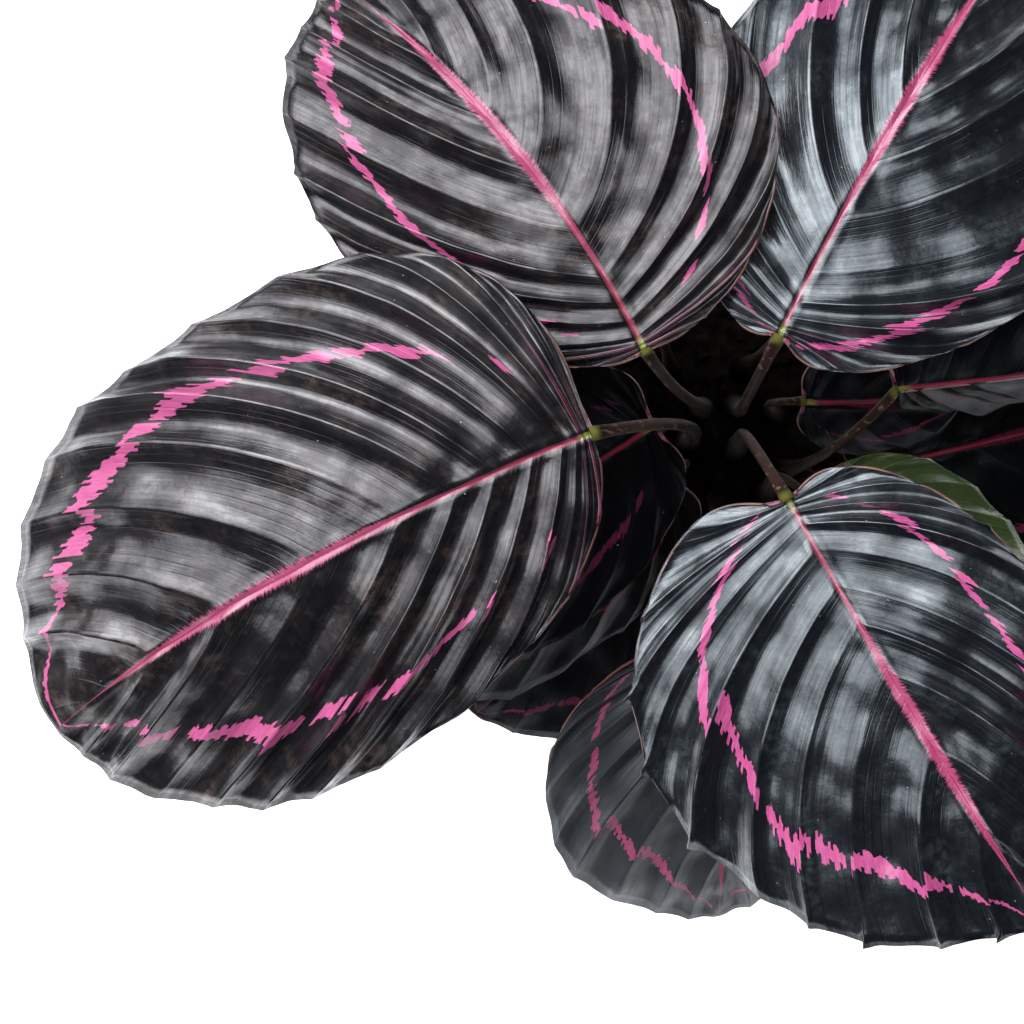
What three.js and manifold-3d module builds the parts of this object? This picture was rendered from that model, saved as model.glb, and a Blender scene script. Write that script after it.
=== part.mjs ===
// Potted calathea: broad pleated leaves on slender stalks, rooted in soil in a plain clay pot.
// Millimetres, +Z up. The origin is the middle of the pot's underside.
import * as THREE from 'three';
import { mergeVertices } from 'three/addons/utils/BufferGeometryUtils.js';
import Module from 'manifold-3d';

const wasm = await Module();
wasm.setup();

// Driving dimensions: pot
const POT_HEIGHT = 126;
const POT_FOOT_RADIUS = 49;
const POT_BODY_RADIUS = 64;
const POT_WALL = 4.5;
const POT_FLOOR = 6;
const BAND_HEIGHT = 24;
const BAND_STEP = 3.5;
const EDGE_SOFTENING = 1.2;
const POT_SIDES = 48;
const DRAIN_COUNT = 5;
const DRAIN_RADIUS = 4.5;
const DRAIN_CIRCLE = 27;
const DRAIN_SIDES = 12;

// Driving dimensions: soil
const SOIL_EDGE = 110;
const SOIL_CROWN = 113;
const FIT_GAP = 0.3;
const HOLE_GAP = 0.36;

// Driving dimensions: stalks
const STALK_DEPTH = 30;
const SHEATH_RADIUS = 3.9;
const STALK_SIDES = 6;
const STALK_STEPS = 9;
const SLIMMEST_STALK = 0.8;
const STALK_PER_WIDTH = 0.0055;
const TOP_SWELLING = 0.35;
const SHEATH_SHARE = 0.3;
const SWELLING_SHARE = 0.08;
const STALK_UPRIGHT = 0.55;
const USUAL_REACH = 0.22;
const ARRIVAL_RISE = 35;

// Driving dimensions: blades
const BLADE_THICKNESS = 0.85;
const MIDRIB_DEPTH = 1.9;
const BASE_HALF_WIDTH = 2.2;
const MIDRIB_HALF_WIDTH = 0.06;
const NECK_SHARE = 0.03;
const BASE_LOBE = 0.04;
const LOBE_SHARE = 0.07;
const TIP_POINT = 0.02;
const TIP_SHARE = 0.05;
const OUTLINE_FULLNESS = 0.85;
const CROSS_RISE = 0;
const CROSS_ARCH = -27;
const FIRST_VEINS = 0.06;
const LAST_VEINS = 0.87;
const BEND_AHEAD = 0.32;
const BEND_OUT = 0.72;
const PLEAT_HEIGHT = 0.0165;
const PLEAT_SPREAD = 0.45;
const FADE_AT_STALK = 0.12;
const FADE_AT_TIP = 0.06;
const MARGIN_CALM = 0.6;
const CALM_FROM = 0.8;
const FIRST_PLEATS = 3;
const PLEATS_PER_MM = 0.066;
const TIP_CROWDING = 0.38;
const UNEVEN_SPACING = 0.055;
const SPACING_WAVES = 2.7;
const EDGE_WAVE = 0.018;
const WAVES_PER_SIDE = 2.2;
const PHASE_STEP = 1.7;
const TILT_BLEND = 4;
const WIDE_BLADE = 105;
const WIDE_COLUMNS = [0.3, 0.6, 0.86, 1];
const NARROW_COLUMNS = [0.45, 0.86, 1];

// Each leaf in turn. base is where the blade starts and root is where its stalk leaves the soil.
// heading is the way the midrib sets off, seen from above. pitch is its first rise and droop how far
// it bends down by the tip. roll lifts the left half, sway bends the midrib to the left and skew
// widens the left half. rise and arch set how steeply a half leaves the midrib and how far it curls
// over. fullness squares the outline off below 1 and points it above 1. rightRise, rightArch and
// rightFullness say the same of the right half where it differs. lobe is how far the base lobes reach
// back. arrive and reach shape the top of the stalk. Angles are in degrees.
const LEAVES = [
  { name: 'west', base: [-40, -4.3, 302], root: [-9, -3], length: 171, width: 132, heading: 201.4,
    pitch: 10, droop: 52, roll: -10, sway: 0.12, skew: -0.1, rise: -2, rightRise: 4, rightArch: -42,
    fullness: 1, rightFullness: 0.6, lobe: 0, arrive: 192, reach: 0.2 },
  { name: 'north_west', base: [-26.5, 16.8, 292], root: [-5, 6], length: 124, width: 118, heading: 117,
    pitch: 14, droop: 38, roll: -6, sway: 0.22, skew: -0.11, arch: -22, fullness: 1.25, lobe: 0.02,
    arrive: 124, reach: 0.14 },
  { name: 'north_east', base: [7.7, 20.4, 286], root: [5, 7], length: 132, width: 111, heading: 64,
    pitch: 4, droop: 34, roll: -2, sway: -0.09, skew: -0.08, arch: -20, fullness: 1.3, lobe: 0.045 },
  { name: 'south_east', base: [9.6, -20.5, 288], root: [5, -6], length: 130, width: 114, heading: -61,
    pitch: 4, droop: 22, roll: 8, sway: 0.045, skew: -0.2, arch: -12, fullness: 1.04, lobe: 0.063 },
  { name: 'south', base: [-8.7, -57.1, 214], root: [0, -18], length: 98, width: 100, heading: -80,
    pitch: -12, droop: 40, roll: -2, sway: -0.07, fullness: 1.1, lobe: 0, arrive: -96 },
  { name: 'inner_south_west', base: [-22, -0.9, 236], root: [-19, 0], length: 118, width: 77, heading: 212,
    pitch: 0, droop: 40, roll: -12, sway: 0.05, arrive: 194, reach: 0.1 },
  { name: 'middle_south_west', base: [-16.4, -13.8, 216], root: [-13, -11], length: 108, width: 70,
    heading: 214, pitch: -4, droop: 40, roll: -22, sway: 0.05, reach: 0.12 },
  { name: 'low_south_west', base: [-13.8, -31.3, 174], root: [-10, -24], length: 84, width: 68, heading: 222,
    pitch: -6, droop: 34, roll: -10, sway: 0 },
  { name: 'curled_east', base: [40.3, 8, 252], root: [17, -12], length: 112, width: 88, heading: 6,
    pitch: 0, droop: 36, roll: 4, sway: 0.02, skew: 0.2, arrive: 50, reach: 0.24,
    rightRise: -66, rightArch: -20 },
  { name: 'olive_east', base: [20.8, -20.2, 222], root: [14, -19], length: 82, width: 78, heading: -43,
    pitch: 2, droop: 36, roll: -8, sway: 0.06, skew: -0.1 },
  { name: 'small_east', base: [19.2, 6.2, 212], root: [17, 4], length: 46, width: 37, heading: -2,
    pitch: -6, droop: 22, roll: 26, sway: 0.02 },
  { name: 'low_east', base: [34.3, -13.1, 184], root: [25, -12], length: 120, width: 84, heading: 12,
    pitch: 0, droop: 34, roll: 0, sway: 0.03 },
  { name: 'low_north_east', base: [20, 36, 222], root: [8, 18], length: 108, width: 84, heading: 60,
    pitch: 0, droop: 46, roll: 0, sway: 0.03 },
  { name: 'low_north_west', base: [-26, 36, 202], root: [-14, 16], length: 112, width: 86, heading: 128,
    pitch: 4, droop: 46, roll: -8, sway: 0.03 },
  { name: 'low_west', base: [-42, 4, 182], root: [-26, 9], length: 112, width: 84, heading: 184,
    pitch: 8, droop: 46, roll: -4, sway: 0.03 },
  { name: 'low_south_east', base: [20, -38, 160], root: [9, -25], length: 104, width: 82, heading: -50,
    pitch: 2, droop: 44, roll: 0, sway: 0.03 },
];

const clay = new THREE.MeshStandardMaterial({ color: 0xa8603f, roughness: 0.9, metalness: 0 });
const earth = new THREE.MeshStandardMaterial({ color: 0x2a1d15, roughness: 1, metalness: 0 });
const bladeSkin = new THREE.MeshStandardMaterial({ color: 0x171d22, roughness: 0.4, metalness: 0 });
const oliveSkin = new THREE.MeshStandardMaterial({ color: 0x46582e, roughness: 0.4, metalness: 0 });
const stalkSkin = new THREE.MeshStandardMaterial({ color: 0x4a2a20, roughness: 0.6, metalness: 0 });

const radians = THREE.MathUtils.degToRad;
const clamp = THREE.MathUtils.clamp;

// Solids and meshes

function solidFrom(geometry) {
  const bare = geometry.clone();
  bare.deleteAttribute('normal');
  bare.deleteAttribute('uv');
  const merged = mergeVertices(bare, 1e-4);
  const corners = Array.from(merged.index.array);
  const kept = [];
  for (let i = 0; i < corners.length; i += 3) {
    const [a, b, c] = corners.slice(i, i + 3);
    if (a !== b && b !== c && c !== a) kept.push(a, b, c);
  }
  const mesh = new wasm.Mesh({
    numProp: 3,
    vertProperties: new Float32Array(merged.attributes.position.array),
    triVerts: new Uint32Array(kept),
  });
  return new wasm.Manifold(mesh);
}

function geometryFrom(solid) {
  const mesh = solid.getMesh();
  const geometry = new THREE.BufferGeometry();
  geometry.setAttribute('position', new THREE.BufferAttribute(mesh.vertProperties, 3));
  geometry.setIndex(new THREE.BufferAttribute(mesh.triVerts, 1));
  return geometry;
}

function named(name, geometry, material) {
  const mesh = new THREE.Mesh(geometry, material);
  mesh.name = name;
  return mesh;
}

// A body turned about the upright axis from a list of [radius, height] points.
function turned(profile) {
  const points = profile.map(([radius, height]) => new THREE.Vector2(radius, height));
  return new THREE.LatheGeometry(points, POT_SIDES).rotateX(Math.PI / 2);
}

// Pot

// The outer wall below the band is a cone from the foot to the body radius.
function bodyRadius(height) {
  return POT_FOOT_RADIUS + (POT_BODY_RADIUS - POT_FOOT_RADIUS) * height / (POT_HEIGHT - BAND_HEIGHT);
}

function innerRadius(height) {
  return bodyRadius(height) - POT_WALL;
}

function potGeometry() {
  const bandFoot = POT_HEIGHT - BAND_HEIGHT;
  const bandRadius = bodyRadius(bandFoot) + BAND_STEP;
  const lipRadius = bodyRadius(POT_HEIGHT) + BAND_STEP;
  const soft = EDGE_SOFTENING;
  const wall = turned([
    [0, 0],
    [POT_FOOT_RADIUS - soft, 0],
    [bodyRadius(soft), soft],
    [bodyRadius(bandFoot), bandFoot],
    [bandRadius - soft, bandFoot],
    [bandRadius, bandFoot + soft],
    [lipRadius, POT_HEIGHT - soft],
    [lipRadius - soft, POT_HEIGHT],
    [innerRadius(POT_HEIGHT) + soft, POT_HEIGHT],
    [innerRadius(POT_HEIGHT - soft), POT_HEIGHT - soft],
    [innerRadius(POT_FLOOR), POT_FLOOR],
    [0, POT_FLOOR],
  ]);
  let pot = solidFrom(wall);
  for (let i = 0; i < DRAIN_COUNT; i += 1) {
    const angle = i / DRAIN_COUNT * 2 * Math.PI;
    const drain = new THREE.CylinderGeometry(DRAIN_RADIUS, DRAIN_RADIUS, 3 * POT_FLOOR, DRAIN_SIDES);
    drain.rotateX(Math.PI / 2);
    drain.translate(DRAIN_CIRCLE * Math.cos(angle), DRAIN_CIRCLE * Math.sin(angle), POT_FLOOR / 2);
    pot = pot.subtract(solidFrom(drain));
  }
  return geometryFrom(pot);
}

// Soil

function soilGeometry() {
  const bottom = POT_FLOOR + FIT_GAP;
  let soil = solidFrom(turned([
    [0, bottom],
    [innerRadius(bottom) - FIT_GAP, bottom],
    [innerRadius(SOIL_EDGE) - FIT_GAP, SOIL_EDGE],
    [0, SOIL_CROWN],
  ]));
  for (const leaf of LEAVES) {
    const hole = new THREE.CylinderGeometry(
      SHEATH_RADIUS + HOLE_GAP, SHEATH_RADIUS + HOLE_GAP, 2 * STALK_DEPTH, STALK_SIDES);
    hole.rotateX(Math.PI / 2);
    hole.translate(leaf.root[0], leaf.root[1], SOIL_CROWN - FIT_GAP);
    soil = soil.subtract(solidFrom(hole));
  }
  return geometryFrom(soil);
}

// Blade outline, flat: x runs along the midrib and y is the distance out from it.
// place is 0 at the stalk and 1 at the tip, out is 0 on the midrib and 1 at the margin.

// share is how far round the margin a vein ends. Side veins stand closer together towards the tip, and
// a slow wave makes some pleats broader than others.
function veinShare(leaf, place) {
  const wave = Math.sin(2 * Math.PI * SPACING_WAVES * place + leaf.phase);
  return place * (1 + TIP_CROWDING * (1 - place)) + UNEVEN_SPACING * wave * place * (1 - place);
}

function margin(leaf, share, side) {
  const skew = side * (leaf.skew ?? 0);
  const lobe = (leaf.lobe ?? BASE_LOBE) * (1 + 2 * skew);
  const x = 0.49 - 0.5 * Math.cos(Math.PI * share)
    - lobe * (Math.cos(Math.PI * share / 2) ** 2 - Math.exp(-((share / LOBE_SHARE) ** 2)))
    + TIP_POINT * Math.exp(-(((1 - share) / TIP_SHARE) ** 2))
    + 0.01 * (1 - share);
  const leftFullness = leaf.fullness ?? OUTLINE_FULLNESS;
  const fullness = side < 0 ? leaf.rightFullness ?? leftFullness : leftFullness;
  const swell = clamp(Math.sin(Math.PI * share), 0, 1) ** fullness;
  const neck = BASE_HALF_WIDTH * Math.exp(-((share / NECK_SHARE) ** 2));
  const y = 0.5 * leaf.width * (1 + skew) * swell + neck;
  return [x * leaf.length, y];
}

// Side veins leave the midrib at veinStart and sweep outwards and forwards to the margin.
function flatPoint(leaf, place, out, side) {
  const share = veinShare(leaf, place);
  const veinStart = (FIRST_VEINS * share + LAST_VEINS * share ** 4) * leaf.length;
  const [endX, endY] = margin(leaf, share, side);
  const bendX = veinStart + BEND_AHEAD * (endX - veinStart);
  const bendY = BEND_OUT * endY;
  const x = (1 - out) ** 2 * veinStart + 2 * out * (1 - out) * bendX + out ** 2 * endX;
  const y = 2 * out * (1 - out) * bendY + out ** 2 * endY;
  return [x, y];
}

function pleatCount(leaf) {
  return Math.round(FIRST_PLEATS + PLEATS_PER_MM * leaf.width);
}

// Height of the pleats and of the slow wave of the margin above the smooth blade.
function relief(leaf, place, out, walked, side) {
  const fold = 1 - 2 * Math.abs(Math.sin(Math.PI * pleatCount(leaf) * place));
  const ends = clamp(place / FADE_AT_STALK, 0, 1) * clamp((1 - place) / FADE_AT_TIP, 0, 1);
  const calm = 1 - MARGIN_CALM * clamp((out - CALM_FROM) / (1 - CALM_FROM), 0, 1) ** 2;
  const fade = out ** PLEAT_SPREAD * calm * ends;
  const wave = Math.sin(2 * Math.PI * WAVES_PER_SIDE * place + leaf.phase + side);
  return leaf.width * (PLEAT_HEIGHT * fade * fold + EDGE_WAVE * walked ** 2 * wave);
}

// The point at height lift above the blade's skin.
function bladePoint(leaf, place, out, side, lift) {
  const [x, y] = flatPoint(leaf, place, out, side);
  const walked = 2 * y / leaf.width;
  const leftRise = leaf.rise ?? CROSS_RISE;
  const rise = radians(side < 0 ? leaf.rightRise ?? leftRise : leftRise);
  const leftArch = leaf.arch ?? CROSS_ARCH;
  const arch = radians(side < 0 ? leaf.rightArch ?? leftArch : leftArch);
  const slope = rise + arch * walked;
  const perRadian = leaf.width / (2 * arch);
  const tilt = slope * Math.min(1, y / TILT_BLEND);
  const up = relief(leaf, place, out, walked, side) + lift;
  const reachOut = perRadian * (Math.sin(slope) - Math.sin(rise)) - Math.sin(tilt) * up;
  const height = perRadian * (Math.cos(rise) - Math.cos(slope)) + Math.cos(tilt) * up;
  const along = x / leaf.length;
  const left = side * reachOut + leaf.sway * leaf.length * along ** 2;

  const pitch = radians(leaf.pitch);
  const droop = radians(leaf.droop);
  const angle = pitch - droop * along;
  const roll = radians(leaf.roll);
  const ahead = leaf.length / droop * (Math.sin(pitch) - Math.sin(angle));
  const climb = leaf.length / droop * (Math.cos(angle) - Math.cos(pitch));
  const sideways = left * Math.cos(roll) - height * Math.sin(roll);
  const above = left * Math.sin(roll) + height * Math.cos(roll);
  const local = new THREE.Vector3(ahead - above * Math.sin(angle), sideways, climb + above * Math.cos(angle));
  local.applyAxisAngle(new THREE.Vector3(0, 0, 1), radians(leaf.heading));
  return local.add(new THREE.Vector3(...leaf.base));
}

// Rows of the blade lie on the crests and troughs of its pleats, from the stalk to the tip.
function rowPlaces(leaf) {
  const creases = 2 * pleatCount(leaf);
  return Array.from({ length: creases + 1 }, (_, i) => i / creases);
}

// Columns run from the left margin over the midrib to the right margin.
function columns(leaf, place) {
  const rib = MIDRIB_HALF_WIDTH + 0.5 * Math.exp(-((place / 0.02) ** 2));
  const steps = leaf.width > WIDE_BLADE ? WIDE_COLUMNS : NARROW_COLUMNS;
  const outward = [0, rib, ...steps.map((step) => rib + (1 - rib) * step)];
  const left = outward.slice(1).reverse().map((out) => [out, 1]);
  return [...left, ...outward.map((out) => [out, -1])];
}

function bladeGeometry(leaf) {
  const vertices = [];
  const faces = [];
  const places = rowPlaces(leaf);
  const count = columns(leaf, 0).length;
  for (const place of places) {
    for (const underside of [false, true]) {
      for (const [out, side] of columns(leaf, place)) {
        const along = flatPoint(leaf, place, out, side)[0] / leaf.length;
        const rib = out === 0 ? MIDRIB_DEPTH * (1 - along) : 0;
        const lift = underside ? -BLADE_THICKNESS - rib : 0;
        vertices.push(...bladePoint(leaf, place, out, side, lift));
      }
    }
  }
  const top = (row, column) => 2 * row * count + column;
  const under = (row, column) => (2 * row + 1) * count + column;
  const quad = (a, b, c, d) => faces.push(a, b, c, a, c, d);
  const last = count - 1;
  for (let row = 0; row + 1 < places.length; row += 1) {
    for (let column = 0; column < last; column += 1) {
      quad(top(row, column), top(row, column + 1), top(row + 1, column + 1), top(row + 1, column));
      faces.push(under(row, column), under(row + 1, column + 1), under(row, column + 1));
      faces.push(under(row, column), under(row + 1, column), under(row + 1, column + 1));
    }
    quad(top(row, 0), top(row + 1, 0), under(row + 1, 0), under(row, 0));
    quad(top(row, last), under(row, last), under(row + 1, last), top(row + 1, last));
  }
  for (let column = 0; column < last; column += 1) {
    quad(top(0, column + 1), top(0, column), under(0, column), under(0, column + 1));
  }
  const geometry = new THREE.BufferGeometry();
  geometry.setAttribute('position', new THREE.Float32BufferAttribute(vertices, 3));
  geometry.setIndex(faces);
  return geometryFrom(solidFrom(geometry));
}

// Stalk: upright in the soil, then a curve that leans out and ends square to the blade's base.

function headingVector(headingDegrees, riseDegrees) {
  const heading = radians(headingDegrees);
  const rise = radians(riseDegrees);
  return new THREE.Vector3(
    Math.cos(heading) * Math.cos(rise), Math.sin(heading) * Math.cos(rise), Math.sin(rise));
}

function stalkRadius(leaf, share) {
  const slim = SLIMMEST_STALK + STALK_PER_WIDTH * leaf.width;
  const sheath = (SHEATH_RADIUS - slim) * Math.exp(-((share / SHEATH_SHARE) ** 2));
  const swelling = TOP_SWELLING * Math.exp(-(((1 - share) / SWELLING_SHARE) ** 2));
  return slim + sheath + swelling;
}

function stalkGeometry(leaf) {
  const bladeStart = headingVector(leaf.heading, leaf.pitch);
  const foot = new THREE.Vector3(leaf.root[0], leaf.root[1], SOIL_CROWN);
  const tip = new THREE.Vector3(...leaf.base).addScaledVector(bladeStart, -FIT_GAP);
  const rise = tip.z - foot.z;
  const arrival = headingVector(leaf.arrive ?? leaf.heading, ARRIVAL_RISE);
  const curve = new THREE.CubicBezierCurve3(
    foot,
    foot.clone().setZ(foot.z + STALK_UPRIGHT * rise),
    tip.clone().addScaledVector(arrival, -(leaf.reach ?? USUAL_REACH) * rise),
    tip,
  );
  const upright = new THREE.Vector3(0, 0, 1);
  const buried = foot.clone().setZ(SOIL_CROWN - STALK_DEPTH);
  const rings = [{ centre: buried, axis: upright, radius: SHEATH_RADIUS }];
  for (let i = 0; i <= STALK_STEPS; i += 1) {
    const share = i / STALK_STEPS;
    const axis = i === 0 ? upright : i === STALK_STEPS ? bladeStart : curve.getTangent(share);
    rings.push({ centre: curve.getPoint(share), axis, radius: stalkRadius(leaf, share) });
  }
  const vertices = [];
  const faces = [];
  for (const { centre, axis, radius } of rings) {
    const turn = new THREE.Quaternion().setFromUnitVectors(upright, axis);
    for (let k = 0; k < STALK_SIDES; k += 1) {
      const angle = (k + 0.5) / STALK_SIDES * 2 * Math.PI;
      const spoke = new THREE.Vector3(Math.cos(angle), Math.sin(angle), 0).multiplyScalar(radius);
      vertices.push(...spoke.applyQuaternion(turn).add(centre));
    }
  }
  for (let ring = 0; ring + 1 < rings.length; ring += 1) {
    for (let k = 0; k < STALK_SIDES; k += 1) {
      const next = (k + 1) % STALK_SIDES;
      const low = ring * STALK_SIDES;
      const high = low + STALK_SIDES;
      faces.push(low + k, low + next, high + next, low + k, high + next, high + k);
    }
  }
  const topRing = (rings.length - 1) * STALK_SIDES;
  for (let k = 1; k + 1 < STALK_SIDES; k += 1) {
    faces.push(0, k + 1, k, topRing, topRing + k, topRing + k + 1);
  }
  const geometry = new THREE.BufferGeometry();
  geometry.setAttribute('position', new THREE.Float32BufferAttribute(vertices, 3));
  geometry.setIndex(faces);
  return geometry;
}

const plant = new THREE.Group();
plant.add(named('pot', potGeometry(), clay));
plant.add(named('soil', soilGeometry(), earth));
LEAVES.forEach((leaf, index) => {
  leaf.phase = PHASE_STEP * index;
  const skin = leaf.name === 'olive_east' ? oliveSkin : bladeSkin;
  plant.add(named(`blade_${leaf.name}`, bladeGeometry(leaf), skin));
  plant.add(named(`stalk_${leaf.name}`, stalkGeometry(leaf), stalkSkin));
});

export default plant;
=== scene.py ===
# %% [markdown]
# # A potted calathea, seen from above
#
# The plant is a clump of broad, pleated, almost black leaves. A jagged pink ring and a rose midrib are
# painted on each one. The packed model already holds every leaf, stalk, the soil and the pot at their
# true size, so this script keeps their form and gives them fine surfaces and colour.

import math

import bmesh
import bpy
import numpy as np
from mathutils import Matrix, Vector


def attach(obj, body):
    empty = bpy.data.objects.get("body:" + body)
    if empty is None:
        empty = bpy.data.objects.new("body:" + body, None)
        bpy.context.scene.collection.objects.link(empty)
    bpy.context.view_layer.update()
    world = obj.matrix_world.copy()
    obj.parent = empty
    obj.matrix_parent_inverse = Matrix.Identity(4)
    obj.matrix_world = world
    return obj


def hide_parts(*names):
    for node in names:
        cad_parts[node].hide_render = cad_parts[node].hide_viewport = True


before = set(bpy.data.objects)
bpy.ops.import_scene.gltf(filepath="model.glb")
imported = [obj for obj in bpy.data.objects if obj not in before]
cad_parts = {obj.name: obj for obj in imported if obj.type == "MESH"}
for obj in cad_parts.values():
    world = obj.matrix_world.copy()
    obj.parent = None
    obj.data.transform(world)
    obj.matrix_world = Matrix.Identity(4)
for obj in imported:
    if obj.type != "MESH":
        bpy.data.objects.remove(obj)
scene = bpy.context.scene
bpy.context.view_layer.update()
MM = 0.001
print("nodes in the frame:", len(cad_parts))

# %% [markdown]
# ## Helpers
#
# Painting by nodes is arithmetic on the UV maps. These helpers write one node per call, so that a formula
# in a later cell reads almost like the formula on paper.

# %% Helpers


class Graph:
    def __init__(self, tree):
        self.tree = tree

    def node(self, kind, **settings):
        made = self.tree.nodes.new(kind)
        for key, value in settings.items():
            setattr(made, key, value)
        return made

    def feed(self, socket, value):
        if isinstance(value, bpy.types.NodeSocket):
            self.tree.links.new(value, socket)
        else:
            socket.default_value = value

    def math(self, operation, first, second=0.0):
        made = self.node("ShaderNodeMath", operation=operation)
        for socket, value in zip(made.inputs, (first, second)):
            self.feed(socket, value)
        return made.outputs[0]

    def add(self, first, second):
        return self.math("ADD", first, second)

    def sub(self, first, second):
        return self.math("SUBTRACT", first, second)

    def mul(self, first, second):
        return self.math("MULTIPLY", first, second)

    def ramp(self, value, low, high, to_low=0.0, to_high=1.0):
        """Smoothly from to_low at low to to_high at high, level beyond them."""
        made = self.node("ShaderNodeMapRange", interpolation_type="SMOOTHSTEP")
        for socket, number in zip(made.inputs, (value, low, high, to_low, to_high)):
            self.feed(socket, number)
        return made.outputs[0]

    def vector(self, x, y, z):
        made = self.node("ShaderNodeCombineXYZ")
        for socket, value in zip(made.inputs, (x, y, z)):
            self.feed(socket, value)
        return made.outputs[0]

    def split(self, vector):
        made = self.node("ShaderNodeSeparateXYZ")
        self.feed(made.inputs[0], vector)
        return made.outputs

    def chance(self, vector):
        """One even random number for each whole step of the vector."""
        made = self.node("ShaderNodeTexWhiteNoise", noise_dimensions="3D")
        self.feed(made.inputs["Vector"], vector)
        return made.outputs["Value"]

    def noise(self, vector, scale, detail=3.0, roughness=0.5):
        made = self.node("ShaderNodeTexNoise")
        self.feed(made.inputs["Vector"], vector)
        self.feed(made.inputs["Scale"], scale)
        self.feed(made.inputs["Detail"], detail)
        self.feed(made.inputs["Roughness"], roughness)
        return made.outputs[0]

    def blend(self, share, first, second, mode="MIX"):
        made = self.node("ShaderNodeMix", data_type="RGBA", blend_type=mode)
        self.feed(made.inputs[0], share)
        for socket, value in ((made.inputs[6], first), (made.inputs[7], second)):
            if isinstance(value, tuple) and len(value) == 3:
                value = (*value, 1.0)
            self.feed(socket, value)
        return made.outputs[2]

    def place(self):
        return self.node("ShaderNodeTexCoord").outputs["Object"]

    def uv(self, name):
        return self.node("ShaderNodeUVMap", uv_map=name).outputs[0]


print("node helpers:", [name for name in vars(Graph) if name[0] != "_"])

# %% [markdown]
# ## Helpers for groups, materials and meshes
#
# A node group works like a function: it is built once, has named inputs and outputs, and each material
# uses it with its own values. The other helpers start a material, finish a mesh or add fine relief.

# %% Helpers for groups, materials and meshes


def new_group(name, inputs, outputs):
    group = bpy.data.node_groups.new(name, "ShaderNodeTree")
    for label, kind in inputs:
        group.interface.new_socket(name=label, in_out="INPUT", socket_type=kind)
    for label, kind in outputs:
        group.interface.new_socket(name=label, in_out="OUTPUT", socket_type=kind)
    graph = Graph(group)
    source = graph.node("NodeGroupInput").outputs
    target = graph.node("NodeGroupOutput").inputs
    return group, graph, source, target


def use_group(graph, group, **values):
    made = graph.node("ShaderNodeGroup", node_tree=group)
    for label, value in values.items():
        graph.feed(made.inputs[label.replace("_", " ")], value)
    return made.outputs


def new_material(name):
    material = bpy.data.materials.new(name)
    material.use_nodes = True
    graph = Graph(material.node_tree)
    return material, graph, material.node_tree.nodes["Principled BSDF"]


def finished_mesh(bm, name):
    mesh = bpy.data.meshes.new(name)
    bm.to_mesh(mesh)
    bm.free()
    return mesh


def new_object(name, mesh):
    piece = bpy.data.objects.new(name, mesh)
    scene.collection.objects.link(piece)
    return piece


def add_bump(g, shader, height, strength, distance):
    bump = g.node("ShaderNodeBump")
    bump.inputs["Strength"].default_value = strength
    bump.inputs["Distance"].default_value = distance
    g.feed(bump.inputs["Height"], height)
    g.feed(shader.inputs["Normal"], bump.outputs[0])


print("view transform:", scene.view_settings.view_transform)

# %% [markdown]
# ## Camera
#
# The photograph looks straight down on the plant from a bit over a metre, and the plant's right and top
# edges run out of the picture. The camera hangs above the left of the pot for that reason. A long lens
# keeps the high leaves from swelling against the low ones.

# %% Camera
CAMERA_PLACE = Vector((-60.0, -24.0, 1300.0)) * MM
LENS_MM = 140.6

camera_data = bpy.data.cameras.new("camera")
camera_data.lens = LENS_MM
camera_data.sensor_width = 36.0
camera = bpy.data.objects.new("camera", camera_data)
camera.location = CAMERA_PLACE
scene.collection.objects.link(camera)
scene.camera = camera
scene.view_settings.view_transform = "Standard"
print("camera height in metres:", round(camera.location.z, 3))

# %% [markdown]
# ## Floor and light
#
# The leaves show their pleats only because they are glossy: one flank of each fold mirrors a bright area
# and the other stays black. Three soft discs of light hang nested at the upper left, a dim wide one behind
# a smaller and a bright small one, like a window with a bright patch of sky. That makes the gloss fade
# over a fold instead of switching. The surroundings are dim in the reflections but pale as plain light,
# so the black flanks stay black.

# %% Floor and light
FLOOR_HALF = 6.0
AIM_POINT = Vector((-0.02, 0.0, 0.24))
ROOM_LIGHT = (0.22, 0.22, 0.23)
ROOM_MIRRORED = (0.035, 0.038, 0.045)
LAMPS = (
    dict(name="window", direction=(-0.40, 0.28, 0.87), distance=2.4, size=5.0, watts=225.0,
         colour=(0.92, 0.95, 1.0)),
    dict(name="bright_sky", direction=(-0.36, 0.26, 0.90), distance=2.16, size=3.2, watts=28.0,
         colour=(0.88, 0.94, 1.0)),
    dict(name="glare", direction=(-0.40, 0.36, 0.84), distance=1.92, size=1.8, watts=44.0,
         colour=(0.95, 0.97, 1.0)),
)


def floor_material():
    material, _, shader = new_material("pale_floor")
    shader.inputs["Base Color"].default_value = (0.9, 0.9, 0.9, 1.0)
    shader.inputs["Roughness"].default_value = 0.9
    shader.inputs["Emission Color"].default_value = (1.0, 1.0, 1.0, 1.0)
    shader.inputs["Emission Strength"].default_value = 0.45
    return material


def add_floor():
    bm = bmesh.new()
    bmesh.ops.create_grid(bm, x_segments=1, y_segments=1, size=FLOOR_HALF)
    floor = new_object("floor", finished_mesh(bm, "floor"))
    floor.data.materials.append(floor_material())


def add_lamp(name, direction, distance, size, watts, colour):
    lamp_data = bpy.data.lights.new(name, "AREA")
    lamp_data.shape = "DISK"
    lamp_data.size = size
    lamp_data.energy = watts
    lamp_data.color = colour
    lamp = bpy.data.objects.new(name, lamp_data)
    toward = Vector(direction).normalized()
    lamp.location = AIM_POINT + toward * distance
    lamp.rotation_euler = toward.to_track_quat("Z", "Y").to_euler()
    scene.collection.objects.link(lamp)


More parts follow.
